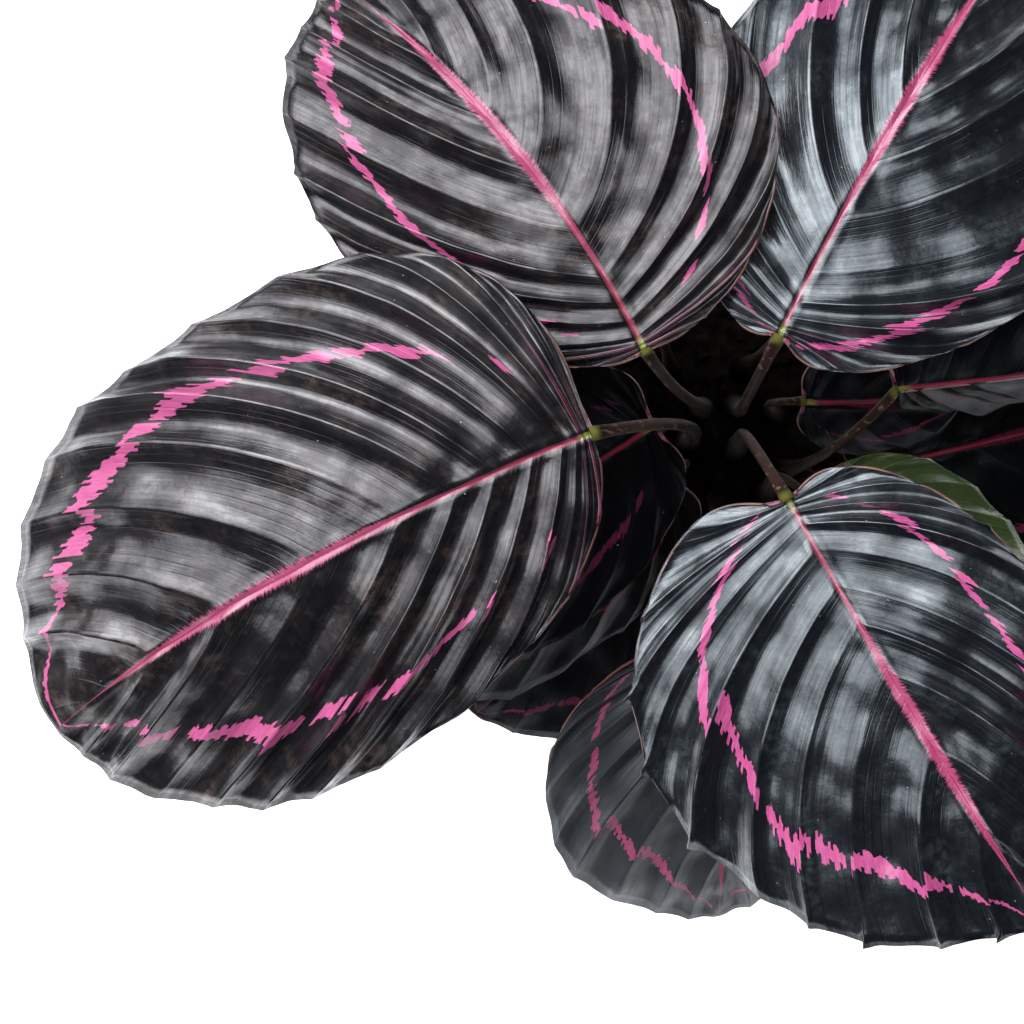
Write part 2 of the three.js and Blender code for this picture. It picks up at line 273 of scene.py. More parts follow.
def add_room_light():
    world = bpy.data.worlds.new("studio")
    scene.world = world
    world.use_nodes = True
    g = Graph(world.node_tree)
    mirrored = g.node("ShaderNodeLightPath").outputs["Is Glossy Ray"]
    colour = g.blend(mirrored, ROOM_LIGHT, ROOM_MIRRORED)
    g.feed(world.node_tree.nodes["Background"].inputs["Color"], colour)


add_floor()
for lamp in LAMPS:
    add_lamp(**lamp)
add_room_light()
print("lamps:", len(LAMPS))

# %% [markdown]
# ## The leaves, one by one
#
# The numbers are those of the packed solids, in millimetres and degrees. base is where the blade starts,
# root is where its stalk leaves the soil, and the rest says how the blade lies. tone and gloss choose the
# paint, denting and the nibs make a blade more or less uneven, and ring tells how far out the pink ring
# runs near the stalk and near the tip, and where it sweeps from one to the other.

# %% The leaves, one by one
LEAVES = [
    dict(name="west", tone="warm", gloss=1.05, ring=(0.18, 0.745, 0.15, 0.70), ring_start=0.27,
         left_nibs=0.1, base=(-40, -4.3, 302), root=(-9, -3), length=171, width=132, heading=201.4, pitch=10,
         droop=52, roll=-10, sway=0.12, skew=-0.1, rise=-2, right_rise=4, right_arch=-42, fullness=1,
         right_fullness=0.6, lobe=0, arrive=192, reach=0.2),
    dict(name="north_west", tone="warm", gloss=0.68, ring=(0.15, 0.86, 0.21, 0.76), ring_start=0.29,
         ring_width=0.040, denting=1.4,
         base=(-26.5, 16.8, 292), root=(-5, 6), length=124, width=118, heading=117, pitch=14, droop=38,
         roll=-6, sway=0.22, skew=-0.11, arch=-22, fullness=1.25, lobe=0.02, arrive=124, reach=0.14),
    dict(name="north_east", tone="cool", gloss=1.35, ring=(0.30, 0.80, 0.13, 0.68), ring_start=0.04,
         ring_near_base=1.9,
         base=(7.7, 20.4, 286), root=(5, 7), length=132, width=111, heading=64, pitch=4, droop=34,
         roll=-2, sway=-0.09, skew=-0.08, arch=-20, fullness=1.3, lobe=0.045),
    dict(name="south_east", tone="cool", gloss=1.3, ring=(0.22, 0.71, 0.15, 0.65), ring_start=0.06,
         right_nibs=2.8, left_nibs=1.0,
         base=(9.6, -20.5, 288), root=(5, -6), length=130, width=114, heading=-61, pitch=4, droop=22,
         roll=8, sway=0.045, skew=-0.2, arch=-12, fullness=1.04, lobe=0.063),
    dict(name="south", tone="shade", gloss=1.6, ring=(0.42, 0.68, 0.15, 0.65), ring_start=0.1,
         ring_width=0.040,
         base=(-8.7, -57.1, 214), root=(0, -18), length=98, width=100, heading=-80, pitch=-12, droop=40,
         roll=-2, sway=-0.07, fullness=1.1, lobe=0, arrive=-96),
    dict(name="inner_south_west", tone="deep_painted_shade", base=(-22, -0.9, 236), root=(-19, 0), length=118, width=77,
         heading=212, pitch=0, droop=40, roll=-12, sway=0.05, arrive=194, reach=0.1),
    dict(name="middle_south_west", tone="deep_painted_shade", base=(-16.4, -13.8, 216), root=(-13, -11), length=108,
         width=70, heading=214, pitch=-4, droop=40, roll=-22, sway=0.05, reach=0.12),
    dict(name="low_south_west", tone="deep_painted_shade", base=(-13.8, -31.3, 174), root=(-10, -24), length=84,
         width=68, heading=222, pitch=-6, droop=34, roll=-10, sway=0),
    dict(name="curled_east", tone="deep_painted_shade", base=(40.3, 8, 252), root=(17, -12), length=112, width=88,
         heading=6, pitch=0, droop=36, roll=4, sway=0.02, skew=0.2, arrive=50, reach=0.24, right_rise=-66,
         right_arch=-20),
    dict(name="olive_east", tone="olive", base=(20.8, -20.2, 222), root=(14, -19), length=82, width=78,
         heading=-43, pitch=2, droop=36, roll=-8, sway=0.06, skew=-0.1),
    dict(name="small_east", tone="deep_painted_shade", base=(19.2, 6.2, 212), root=(17, 4), length=46, width=37,
         heading=-2, pitch=-6, droop=22, roll=26, sway=0.02),
    dict(name="low_east", tone="deep_painted_shade", base=(34.3, -13.1, 184), root=(25, -12), length=120, width=84,
         heading=12, pitch=0, droop=34, roll=0, sway=0.03),
    dict(name="low_north_east", tone="cool", base=(20, 36, 222), root=(8, 18), length=108, width=84,
         heading=60, pitch=0, droop=46, roll=0, sway=0.03),
    dict(name="low_north_west", tone="cool", base=(-26, 36, 202), root=(-14, 16), length=112, width=86,
         heading=128, pitch=4, droop=46, roll=-8, sway=0.03),
    dict(name="low_west", tone="cool", base=(-42, 4, 182), root=(-26, 9), length=112, width=84,
         heading=184, pitch=8, droop=46, roll=-4, sway=0.03),
    dict(name="low_south_east", tone="cool", base=(20, -38, 160), root=(9, -25), length=104, width=82,
         heading=-50, pitch=2, droop=44, roll=0, sway=0.03),
]
for number, leaf in enumerate(LEAVES):
    leaf["phase"] = 1.7 * number
    leaf["seed"] = number
print("leaves:", len(LEAVES))

# %% [markdown]
# ## The outline and veins of a blade
#
# A blade grows from a flat pattern: veins leave the midrib and sweep out and forwards to a rounded margin.
# place tells which vein (0 at the stalk, 1 at the tip) and out how far along it (0 on the midrib, 1 at the
# margin). side is 1 on the left half and -1 on the right, since the halves differ a little. Doing this with
# numpy keeps all the points of one blade in a single calculation.

# %% The outline and veins of a blade
BASE_HALF_WIDTH = 2.2
NECK_SHARE = 0.03
BASE_LOBE = 0.04
LOBE_SHARE = 0.07
TIP_POINT = 0.02
TIP_SHARE = 0.05
OUTLINE_FULLNESS = 0.85
UNEVEN_SPACING = 0.055
SPACING_WAVES = 2.7
FIRST_VEINS = 0.06
LAST_VEINS = 0.87
BEND_AHEAD = 0.32
BEND_OUT = 0.72


def smoothstep(low, high, value):
    share = np.clip((value - low) / (high - low), 0, 1)
    return share * share * (3 - 2 * share)


def pleat_count(leaf):
    return round(3 + 0.066 * leaf["width"])


def vein_share(leaf, place):
    """Veins stand closer together towards the tip, and a slow wave makes some pleats broader than others."""
    wave = np.sin(2 * np.pi * SPACING_WAVES * place + leaf["phase"])
    return place * (1.38 - 0.38 * place) + UNEVEN_SPACING * wave * place * (1 - place)


def margin_point(leaf, place, side):
    skew = side * leaf.get("skew", 0.0)
    share = vein_share(leaf, place)
    lobe = leaf.get("lobe", BASE_LOBE) * (1 + 2 * skew)
    x = (0.49 - 0.5 * np.cos(np.pi * share)
         - lobe * (np.cos(np.pi * share / 2) ** 2 - np.exp(-((share / LOBE_SHARE) ** 2)))
         + TIP_POINT * np.exp(-(((1 - share) / TIP_SHARE) ** 2))
         + 0.01 * (1 - share))
    fullness = leaf.get("fullness", OUTLINE_FULLNESS)
    fullness = np.where(side < 0, leaf.get("right_fullness", fullness), fullness)
    swell = np.clip(np.sin(np.pi * share), 0, 1) ** fullness
    neck = BASE_HALF_WIDTH * np.exp(-((share / NECK_SHARE) ** 2))
    y = 0.5 * leaf["width"] * (1 + skew) * swell + neck
    return x * leaf["length"], y


def flat_point(leaf, place, out, side):
    share = vein_share(leaf, place)
    vein_start = (FIRST_VEINS * share + LAST_VEINS * share ** 4) * leaf["length"]
    end_x, end_y = margin_point(leaf, place, side)
    bend_x = vein_start + BEND_AHEAD * (end_x - vein_start)
    x = (1 - out) ** 2 * vein_start + 2 * out * (1 - out) * bend_x + out ** 2 * end_x
    y = 2 * out * (1 - out) * BEND_OUT * end_y + out ** 2 * end_y
    return x, y


print("pleats on the largest blade:", pleat_count(LEAVES[0]))

# %% [markdown]
# ## Pleats, ripples and dents
#
# A young blade is rolled up tightly, and it keeps pleats from then: crisp crests with rounded valleys
# between them. No two pleats are alike. Each draws its own height, and its valley lies nearer to one crest
# than to the other. Fine ripples and soft dents break up the reflections, as on the living leaf.

# %% Pleats, ripples and dents
PLEAT_HEIGHT = 0.0155
PLEAT_SPREAD = 0.45
CREST_ROUND = 1.6
CREST_SLOPE = 0.8
MARGIN_CALM = 0.7
CALM_FROM = 0.8
EDGE_WAVE = 0.018
WAVES_PER_SIDE = 2.2
RIPPLE_HEIGHT = 0.0011
RIPPLES_PER_PLEAT = 4
DENTS = ((46.0, 0.6), (26.0, 0.42), (14.0, 0.2), (7.5, 0.06))


def pleat_chance(leaf, crest, side, low, high, draw=0):
    """A random number for each crest of each half, the same at all points that belong to it."""
    rng = np.random.default_rng((100 + leaf["seed"], draw))
    left, right = rng.uniform(low, high, (2, pleat_count(leaf) + 2))
    return np.where(side > 0, left[crest], right[crest])


def fold_place(leaf, place, side):
    """How far a point is from one crest (0) to the next (1), and which crest is nearest.

    The valley, at 0.5, lies nearer to one crest than to the other, differently for each pleat.
    """
    steps = place * pleat_count(leaf)
    crest = np.floor(steps).astype(int)
    valley = pleat_chance(leaf, crest, side, 0.34, 0.66, draw=3)
    within = steps - crest
    turned = np.where(within < valley, 0.5 * within / valley, 1 - 0.5 * (1 - within) / (1 - valley))
    return turned, crest + (within >= valley)


def pleat_relief(leaf, place, out, walked, side):
    """Height of the pleats, their ripples and the slow wave along the margin, in millimetres."""
    turned, nearest = fold_place(leaf, place, side)
    from_crest = np.minimum(turned, 1 - turned)
    crest = 1 - CREST_ROUND * np.sin(np.pi * from_crest) - CREST_SLOPE * from_crest
    calm = 1 - MARGIN_CALM * np.clip((out - CALM_FROM) / (1 - CALM_FROM), 0, 1) ** 2
    fade = out ** PLEAT_SPREAD * calm * np.clip(place / 0.12, 0, 1) * np.clip((1 - place) / 0.06, 0, 1)
    own_height = pleat_chance(leaf, nearest, side, 0.4, 1.4)
    pleats = PLEAT_HEIGHT * fade * (own_height * (crest + 1) - 1)
    ripples = RIPPLE_HEIGHT * fade * (np.cos(2 * np.pi * RIPPLES_PER_PLEAT * turned) - 1)
    ripples = ripples * pleat_chance(leaf, nearest, side, 0.1, 1.0, draw=1)
    wave = EDGE_WAVE * walked ** 2 * np.sin(2 * np.pi * WAVES_PER_SIDE * place + leaf["phase"] + side)
    return leaf["width"] * (pleats + ripples + wave)


def unevenness(leaf, x, y):
    """Soft dents from crossed waves of a few sizes, in millimetres."""
    rng = np.random.default_rng(300 + leaf["seed"])
    total = 0.0
    for wave_length, height in DENTS:
        turn, shift_x, shift_y = rng.uniform(0, 2 * np.pi, 3)
        u = x * np.cos(turn) + y * np.sin(turn)
        v = y * np.cos(turn) - x * np.sin(turn)
        total = total + height * (np.sin(2 * np.pi * u / wave_length + shift_x)
                                  * np.sin(2 * np.pi * v / wave_length + shift_y))
    return total * leaf.get("denting", 1.0)


print("dents in millimetres:", [height for _, height in DENTS])

# %% [markdown]
# ## Bending a blade into place
#
# The flat, pleated pattern is arched across, bent along its midrib and turned to its heading. Each vein
# ends in a small nib on the margin with a shallow scallop beside it, and the midrib lies in a groove
# between two low swellings. The bends are plain arcs, so a point's place follows from a short formula.

# %% Bending a blade into place
CROSS_RISE = 0.0
CROSS_ARCH = -27.0
TILT_BLEND = 4.0
USUAL_NIBS = 0.6
NIB_LENGTH = 0.8
NIB_LIFT = 0.4
NIB_WIDTH = 0.22
SCALLOP_SHARE = 0.3


def bend_into_place(leaf, x, y, side, up):
    """Takes flat points, with up millimetres above the skin, to where the blade lies."""
    walked = 2 * y / leaf["width"]
    rise = np.radians(np.where(side < 0, leaf.get("right_rise", leaf.get("rise", CROSS_RISE)),
                               leaf.get("rise", CROSS_RISE)))
    left_arch = leaf.get("arch", CROSS_ARCH)
    arch = np.radians(np.where(side < 0, leaf.get("right_arch", left_arch), left_arch))
    slope = rise + arch * walked
    per_radian = leaf["width"] / (2 * arch)
    tilt = slope * np.minimum(1, y / TILT_BLEND)
    reach_out = per_radian * (np.sin(slope) - np.sin(rise)) - np.sin(tilt) * up
    height = per_radian * (np.cos(rise) - np.cos(slope)) + np.cos(tilt) * up
    along = x / leaf["length"]
    left = side * reach_out + leaf["sway"] * leaf["length"] * along ** 2

    pitch = math.radians(leaf["pitch"])
    droop = math.radians(leaf["droop"])
    angle = pitch - droop * along
    roll = math.radians(leaf["roll"])
    ahead = leaf["length"] / droop * (math.sin(pitch) - np.sin(angle))
    climb = leaf["length"] / droop * (np.cos(angle) - math.cos(pitch))
    sideways = left * math.cos(roll) - height * math.sin(roll)
    above = left * math.sin(roll) + height * math.cos(roll)
    forward = ahead - above * np.sin(angle)
    heading = math.radians(leaf["heading"])
    base = leaf["base"]
    return np.stack([
        base[0] + forward * math.cos(heading) - sideways * math.sin(heading),
        base[1] + forward * math.sin(heading) + sideways * math.cos(heading),
        base[2] + climb + above * np.cos(angle),
    ], axis=-1) * MM


def margin_nibs(leaf, place, out, side):
    """1 at the strongest nib on the margin, and a little below 0 in the scallops between nibs."""
    turned = np.pi * pleat_count(leaf) * place
    nearest = fold_place(leaf, place, side)[1]
    nibs = np.exp(-((np.sin(turned) / NIB_WIDTH) ** 2)) * smoothstep(0.93, 1.0, out)
    nibs = nibs * np.clip(pleat_chance(leaf, nearest, side, -0.4, 1.1, draw=2), 0, 1)
    scallops = np.sin(turned) ** 2 * smoothstep(0.88, 1.0, out)
    ends = smoothstep(0.12, 0.3, place) * smoothstep(1.0, 0.95, place)
    strength = np.where(side > 0, leaf.get("left_nibs", USUAL_NIBS), leaf.get("right_nibs", USUAL_NIBS))
    return (nibs - SCALLOP_SHARE * scallops) * ends * strength


def midrib_groove(y, along):
    """A groove on the midrib and a low swelling on each side of it, in millimetres."""
    groove = -0.35 * np.exp(-((y / 0.7) ** 2)) + 0.3 * np.exp(-(((y - 1.5) / 0.8) ** 2))
    return groove * smoothstep(1.0, 0.8, along)


def blade_points(leaf, place, signed_out):
    """Points of the blade, and their flat places along and across it as shares of its length."""
    side = np.where(signed_out < 0, -1.0, 1.0)
    out = np.abs(signed_out)
    x, y = flat_point(leaf, place, out, side)
    nibs = margin_nibs(leaf, place, out, side)
    up = pleat_relief(leaf, place, out, 2 * y / leaf["width"], side) + unevenness(leaf, x, side * y)
    up = up + midrib_groove(y, x / leaf["length"]) + NIB_LIFT * nibs
    points = bend_into_place(leaf, x, y + NIB_LENGTH * nibs, side, up)
    return points, x / leaf["length"], side * y / leaf["length"]


tip_of_largest = blade_points(LEAVES[0], np.ones(1), np.ones(1))[0][0]
print("tip of the largest blade:", tip_of_largest.round(3))

# %% [markdown]
# ## Blade meshes
#
# A grid is the natural start for a blade, because its rows can run along the veins, with many rows for each
# pleat. Its columns crowd together at the midrib, where the relief is finest. Two UV maps travel with the
# mesh: "vein" tells the paint where a point is among the veins and how far out, and "flat" where it is on
# the flat pattern. A Solidify modifier then gives the blade its thickness, wine-red underside and thin rim.

# %% Blade meshes
ROWS_PER_PLEAT = 24
COLUMNS_PER_HALF = 34
SMALL_ROWS_PER_PLEAT = 16
SMALL_COLUMNS_PER_HALF = 22
LARGE_WIDTH = 100
COLUMN_CROWDING = 1.5
SKIN_MM = 0.55


def grid_places(bm):
    flat = np.array([vertex.co[:2] for vertex in bm.verts])
    low = flat.min(axis=0)
    share = (flat - low) / (flat.max(axis=0) - low)
    signed = 2 * share[:, 1] - 1
    return share[:, 0], np.sign(signed) * np.abs(signed) ** COLUMN_CROWDING


def blade_mesh(leaf):
    large = leaf["width"] > LARGE_WIDTH
    rows = pleat_count(leaf) * (ROWS_PER_PLEAT if large else SMALL_ROWS_PER_PLEAT)
    columns = 2 * (COLUMNS_PER_HALF if large else SMALL_COLUMNS_PER_HALF)
    bm = bmesh.new()
    bmesh.ops.create_grid(bm, x_segments=rows, y_segments=columns, size=0.5)
    place, signed_out = grid_places(bm)
    points, along, across = blade_points(leaf, place, signed_out)
    bm.verts.index_update()
    vein_map = bm.loops.layers.uv.new("vein")
    flat_map = bm.loops.layers.uv.new("flat")
    for face in bm.faces:
        face.smooth = True
        for loop in face.loops:
            i = loop.vert.index
            loop[vein_map].uv = (place[i], 0.5 + 0.5 * signed_out[i])
            loop[flat_map].uv = (along[i], 0.5 + across[i])
    for vertex, point in zip(bm.verts, points):
        vertex.co = point
    bmesh.ops.remove_doubles(bm, verts=bm.verts, dist=1e-6)
    bm.normal_update()
    if sum(face.normal.z * face.calc_area() for face in bm.faces) < 0:
        bmesh.ops.reverse_faces(bm, faces=bm.faces)
    return finished_mesh(bm, "blade_" + leaf["name"])


def add_skin(piece):
    skin = piece.modifiers.new("skin", "SOLIDIFY")
    skin.thickness = SKIN_MM * MM
    skin.offset = -1.0
    skin.material_offset = 1
    skin.material_offset_rim = 2
    return skin


blades = {}
for leaf in LEAVES:
    blade = new_object("leaf_" + leaf["name"], blade_mesh(leaf))
    add_skin(blade)
    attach(blade, "root")
    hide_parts("blade_" + leaf["name"])
    blades[leaf["name"]] = blade
print("blade faces:", sum(len(blade.data.polygons) for blade in blades.values()))

# %% [markdown]
# ## Rods along a curve
#
# A leaf stalk and the rib below the midrib are both tapering rods along a curve. A ring of vertices is
# extruded from station to station, because that keeps the rod one clean skin. The rod's UV map tells the
# paint how far along it a point lies.

# %% Rods along a curve
ROD_SIDES = 16


def rod_mesh(name, stations):
    """stations are (centre, axis, radius) in metres. The rod's UV map runs along it."""
    bm = bmesh.new()
    along_map = bm.loops.layers.uv.new("along")
    ring = bmesh.ops.create_circle(bm, cap_ends=True, segments=ROD_SIDES, radius=1.0)["verts"]
    rest = [vertex.co.copy() for vertex in ring]
    stage_of = {}

    def place_ring(vertices, station, share):
        centre, axis, radius = station
        turn = axis.to_track_quat("Z", "X").to_matrix()
        for vertex, spoke in zip(vertices, rest):
            vertex.co = centre + turn @ (spoke * radius)
            stage_of[vertex] = share

    place_ring(ring, stations[0], 0.0)
    edges = list(bm.edges)
    for step, station in enumerate(stations[1:], 1):
        made = bmesh.ops.extrude_edge_only(bm, edges=edges)["geom"]
        grown = [item for item in made if isinstance(item, bmesh.types.BMVert)]
        edges = [item for item in made if isinstance(item, bmesh.types.BMEdge)
                 and all(end in grown for end in item.verts)]
        ordered = []
        for vertex in ring:
            ordered.append(next(end for edge in vertex.link_edges for end in edge.verts
                                if end is not vertex and end in grown))
        place_ring(ordered, station, step / (len(stations) - 1))
        ring = ordered
    bmesh.ops.contextual_create(bm, geom=edges)
    bmesh.ops.recalc_face_normals(bm, faces=bm.faces)
    for face in bm.faces:
        face.smooth = len(face.verts) == 4
        for loop in face.loops:
            loop[along_map].uv = (stage_of[loop.vert], 0.5)
    return finished_mesh(bm, name)


print("sides of a rod:", ROD_SIDES)

# %% [markdown]
# ## Stalks and ribs
#
# A stalk stands upright at the soil and leans over to meet its blade from below. It has a sheath at its
# foot, and where it meets the blade a small swelling, the joint by which the leaf lifts at night. A curve
# with two handles gives its course: one straight above the foot, the other a little short of the blade.

# %% Stalks and ribs
SOIL_CROWN = 113.0
STALK_FOOT = 100.0
SHEATH_RADIUS = 3.9
SLIMMEST_STALK = 0.8
STALK_PER_WIDTH = 0.0055
SWELLING = 0.45
USUAL_REACH = 0.22
STALK_UPRIGHT = 0.55
ARRIVAL_RISE = 35.0
STALK_STEPS = 44
RIB_STEPS = 40


def heading_vector(heading_degrees, rise_degrees):
    heading = math.radians(heading_degrees)
    rise = math.radians(rise_degrees)
    return Vector((math.cos(heading) * math.cos(rise), math.sin(heading) * math.cos(rise), math.sin(rise)))


def stalk_radius(leaf, share):
    slim = SLIMMEST_STALK + STALK_PER_WIDTH * leaf["width"]
    sheath = (SHEATH_RADIUS - slim) * math.exp(-((share / 0.3) ** 2))
    swelling = SWELLING * math.exp(-(((1 - share) / 0.05) ** 2))
    return slim + sheath + swelling


def stalk_stations(leaf):
    blade_start = heading_vector(leaf["heading"], leaf["pitch"])
    foot = Vector((*leaf["root"], SOIL_CROWN))
    tip = Vector(leaf["base"]) + blade_start * 0.6
    rise = tip.z - foot.z
    arrival = heading_vector(leaf.get("arrive", leaf["heading"]), ARRIVAL_RISE)
    above_foot = foot + Vector((0, 0, STALK_UPRIGHT * rise))
    before_tip = tip - arrival * leaf.get("reach", USUAL_REACH) * rise
    upright = Vector((0, 0, 1))
    stations = [(Vector((*leaf["root"], STALK_FOOT)) * MM, upright, SHEATH_RADIUS * MM)]
    for i in range(STALK_STEPS + 1):
        s = i / STALK_STEPS
        centre = ((1 - s) ** 3 * foot + 3 * s * (1 - s) ** 2 * above_foot
                  + 3 * s * s * (1 - s) * before_tip + s ** 3 * tip)
        axis = ((1 - s) ** 2 * (above_foot - foot) + 2 * s * (1 - s) * (before_tip - above_foot)
                + s * s * (tip - before_tip))
        axis = axis.normalized().lerp(blade_start, max(0.0, (s - 0.93) / 0.07)).normalized()
        stations.append((centre * MM, axis, stalk_radius(leaf, s) * MM))
    return stations


def rib_stations(leaf):
    shares = np.linspace(0.0, 0.9, RIB_STEPS)
    x = shares * leaf["length"]
    radius = (1.3 * (1 - shares) + 0.3) * leaf["width"] / LEAVES[0]["width"]
    zero = np.zeros_like(x)
    under = unevenness(leaf, x, zero) - 0.35 - SKIN_MM - 0.9 * radius
    centres = bend_into_place(leaf, x, zero, np.ones_like(x), under)
    stations = []
    for i, centre in enumerate(centres):
        ahead = centres[min(i + 1, RIB_STEPS - 1)] - centres[max(i - 1, 0)]
        stations.append((Vector(centre), Vector(ahead).normalized(), float(radius[i]) * MM))
    return stations


stalks = {}
ribs = {}
for leaf in LEAVES:
    name = leaf["name"]
    stalks[name] = new_object("petiole_" + name, rod_mesh("petiole_" + name, stalk_stations(leaf)))
    ribs[name] = new_object("rib_" + name, rod_mesh("rib_" + name, rib_stations(leaf)))
    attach(stalks[name], "root")
    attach(ribs[name], "root")
    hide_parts("stalk_" + name)
    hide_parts("blade_" + name)
print("stalks and ribs:", len(stalks) + len(ribs))

# %% [markdown]
# ## The pink ring
#
# On the real leaf the pink ring isn't drawn with a smooth edge. It is made of many short dashes, one for
# each fine veinlet, and it jumps where a pleat starts. So ring_mask asks three questions of every point:
# on which veinlet does it lie, where does that veinlet's dash start and end, and is the point between
# them?

# %% The pink ring
FLOAT = "NodeSocketFloat"
VECTOR = "NodeSocketVector"
DASHES_PER_PLEAT = 21.0
RING_WIDTH = 0.054
USUAL_RING = (0.20, 0.70, 0.15, 0.70)


def ring_mask(g, source, place, out, key):
    """The dashes of the ring: 1 inside a dash and 0 outside it."""
    pleat_place = g.mul(place, source["Pleats"])
    dash = g.math("FLOOR", g.mul(pleat_place, DASHES_PER_PLEAT))
    slow = g.noise(g.vector(g.mul(place, 7.0), key, 0.0), 1.0, 1.0)
    pleat_chance = g.chance(g.vector(g.math("FLOOR", pleat_place), key, 3.5))
    step = g.mul(g.sub(g.math("FRACT", pleat_place), 0.5), 0.04)
    jump = g.mul(g.sub(pleat_chance, 0.5), 0.07)
    drift = g.mul(g.sub(slow, 0.5), 0.08)
    sweep = g.ramp(place, source["Sweep From"], source["Sweep To"], source["Ring Near"], source["Ring Far"])
    closing = g.ramp(place, 0.86, 1.0, 0.0, 0.06)
    centre = g.add(g.add(g.add(sweep, closing), drift), g.add(step, jump))

    width = g.mul(source["Ring Width"], g.ramp(place, 0.12, 0.5, source["Ring Near Base"], 1.0))
    width = g.mul(width, g.mul(g.ramp(slow, 0.3, 0.7, 0.75, 1.2), g.ramp(place, 0.8, 1.0, 1.0, 0.55)))
    cluster = g.noise(g.vector(g.mul(pleat_place, 0.3 * DASHES_PER_PLEAT), key, 4.5), 1.0, 1.0)
    inner_chance = g.mul(g.chance(g.vector(dash, key, 1.5)), 0.45)
    inner_chance = g.add(inner_chance, g.mul(g.ramp(cluster, 0.25, 0.75), 0.55))
    outer_chance = g.mul(g.chance(g.vector(dash, key, 2.5)), 0.6)
    outer_chance = g.add(outer_chance, g.mul(g.ramp(cluster, 0.2, 0.6), 0.4))
    inner = g.sub(centre, g.mul(width, g.ramp(inner_chance, 0.0, 1.0, 0.06, 1.0)))
    outer = g.add(centre, g.mul(width, g.ramp(outer_chance, 0.0, 1.0, 0.06, 1.0)))
    inside = g.mul(g.math("GREATER_THAN", out, inner), g.math("LESS_THAN", out, outer))

    broken = g.noise(g.vector(g.mul(pleat_place, 3.1), key, 7.0), 1.0, 1.0)
    started = g.ramp(place, source["Ring Start"], g.add(source["Ring Start"], 0.22), 0.62, 0.37)
    whole = g.math("GREATER_THAN", broken, started)
    begun = g.math("GREATER_THAN", place, source["Ring Start"])
    return g.mul(g.mul(inside, whole), begun)


print("dashes in each pleat:", DASHES_PER_PLEAT)

# %% [markdown]
# ## The rose midrib
#
# The midrib is a rose band that feathers out in the middle of the blade, with a fine groove along it. It
# is measured in millimetres on the flat pattern, so that it keeps its width on large and small leaves.

# %% The rose midrib


def midrib_masks(g, source, key):
    """The feathered rose band, the groove in it, and the foot of the blade."""
    along, flat_y, _ = g.split(source["Flat"])
    from_rib = g.mul(g.math("ABSOLUTE", g.sub(flat_y, 0.5)), source["Length"])
    rib_half = g.mul(g.ramp(along, 0.0, 0.95, 0.8, 0.4), g.ramp(along, 0.82, 0.93, 1.0, 0.0))
    swell = g.mul(g.ramp(along, 0.22, 0.5, 0.0, 1.0), g.ramp(along, 0.6, 0.9, 1.0, 0.0))
    slanted = g.sub(g.mul(along, 420.0), g.mul(from_rib, 1.1))
    feather_chance = g.noise(g.vector(slanted, key, g.mul(from_rib, 0.25)), 1.0, 2.0, 0.7)
    feather = g.mul(g.mul(swell, source["Feather"]), g.ramp(feather_chance, 0.3, 0.7, 0.25, 1.15))
    past_band = g.sub(from_rib, g.add(rib_half, feather))
    softness = g.add(g.mul(swell, 0.5), 0.1)
    band = g.ramp(past_band, g.mul(softness, -1.0), softness, 1.0, 0.0)
    groove = g.ramp(g.sub(from_rib, g.mul(rib_half, 0.32)), -0.15, 0.25, 1.0, 0.0)
    foot = g.ramp(g.mul(along, source["Length"]), 1.5, 5.0, 1.0, 0.0)
    return band, groove, foot


print("midrib masks: band, groove and foot")

# %% [markdown]
# ## Veinlets, streaks and grain
#
# The skin between the large veins is finely lined along them. Three noises that are drawn out along the
# veins give broad streaks, fine scratches and a short grain, and thin veinlets lie at even steps.

# %% Veinlets, streaks and grain
VEINLETS_PER_PLEAT = 8.0
# Fineness across and along the veins, detail and roughness.
STREAK = (3.0, 2.4, 5.0, 0.62)
SCRATCH = (26.0, 2.5, 2.0, 0.6)
GRAIN = (34.0, 26.0, 3.0, 0.65)


def stretched_noise(g, pleat_place, out, key, across, along, detail, roughness=0.5):
    """Noise drawn out along the veins: fine across them and slow along them."""
    return g.noise(g.vector(g.mul(pleat_place, across), g.mul(out, along), key), 1.0, detail, roughness)


def veinlet_mask(g, pleat_place, out, key):
    from_veinlet = g.sub(g.math("FRACT", g.mul(pleat_place, VEINLETS_PER_PLEAT)), 0.5)
    thin = g.ramp(g.math("ABSOLUTE", from_veinlet), 0.05, 0.13, 1.0, 0.0)
    visible = stretched_noise(g, pleat_place, out, key, 4.0, 3.0, 2.0)
    return g.mul(thin, g.ramp(visible, 0.40, 0.62))


print("veinlets in each pleat:", VEINLETS_PER_PLEAT)

# %% [markdown]
# ## The leaf pattern group
#
# All the masks go into one group, which serves all the leaves: only its inputs differ from leaf to leaf.
# The key moves the random numbers on, so that no two leaves, and no two halves, have the same dashes.

# %% The leaf pattern group


